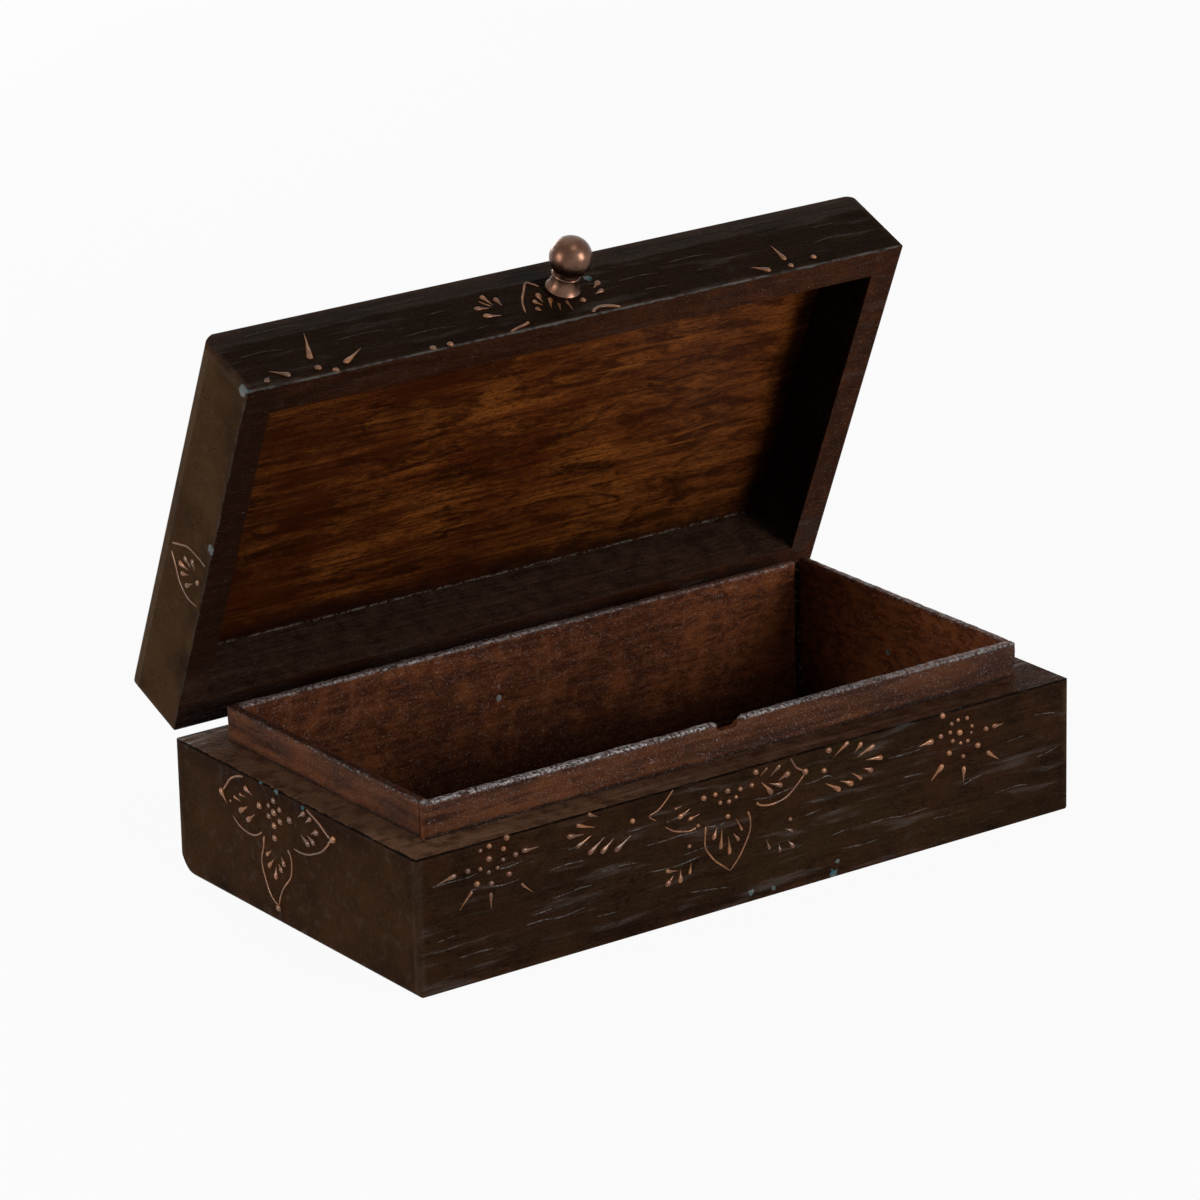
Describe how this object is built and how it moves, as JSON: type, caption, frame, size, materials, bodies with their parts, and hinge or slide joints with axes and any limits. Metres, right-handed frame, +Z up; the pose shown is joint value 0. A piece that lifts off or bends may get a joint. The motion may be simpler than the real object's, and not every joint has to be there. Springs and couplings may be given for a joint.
{
  "type": "keepsake box",
  "caption": "Low wooden box with a hinged lid standing open, a lip inside the rim and a turned metal knob on the lid's front.",
  "frame": {"origin": "centre of the base's flat underside, between the long walls", "axes": "+X along the box's length to the right seen from the front, -Y the front with the knob, +Z up; the lid stands 67 degrees open"},
  "size_m": [0.25, 0.158, 0.1925],
  "materials": {
    "painted_wood": "dark brown paint with an olive cast over open grain, worn at the edges",
    "stained_wood": "reddish brown stain, satin",
    "nail_steel": "dull",
    "screw_steel": "dull",
    "hinge_brass": "tarnished",
    "knob_copper": "satin copper brown"
  },
  "bodies": {
    "base": {"base_bottom_board": "painted_wood", "base_front_wall": "painted_wood", "base_back_wall": "painted_wood", "base_left_wall": "painted_wood", "base_right_wall": "painted_wood", "front_liner": "stained_wood", "back_liner": "stained_wood", "left_liner": "stained_wood", "right_liner": "stained_wood", "base_corner_nails": "nail_steel", "bottom_nails": "nail_steel", "liner_pins": "nail_steel", "left_hinge_base_leaf": "hinge_brass", "right_hinge_base_leaf": "hinge_brass", "left_hinge_pin": "hinge_brass", "right_hinge_pin": "hinge_brass", "hinge_base_screws": "hinge_brass"},
    "lid": {"lid_top_board": "painted_wood", "lid_front_wall": "painted_wood", "lid_back_wall": "painted_wood", "lid_left_wall": "painted_wood", "lid_right_wall": "painted_wood", "lid_corner_nails": "nail_steel", "lid_top_nails": "nail_steel", "left_hinge_lid_leaf": "hinge_brass", "right_hinge_lid_leaf": "hinge_brass", "hinge_lid_screws": "hinge_brass", "knob": "knob_copper", "knob_washer": "screw_steel", "knob_screw": "screw_steel"}
  },
  "joints": [
    {"name": "lid_hinge", "type": "hinge", "parent": "base", "child": "lid", "pos_m": [0, 0.06845, 0.0442], "axis": [-1, 0, 0], "range_deg": [-67, 113]}
  ]
}
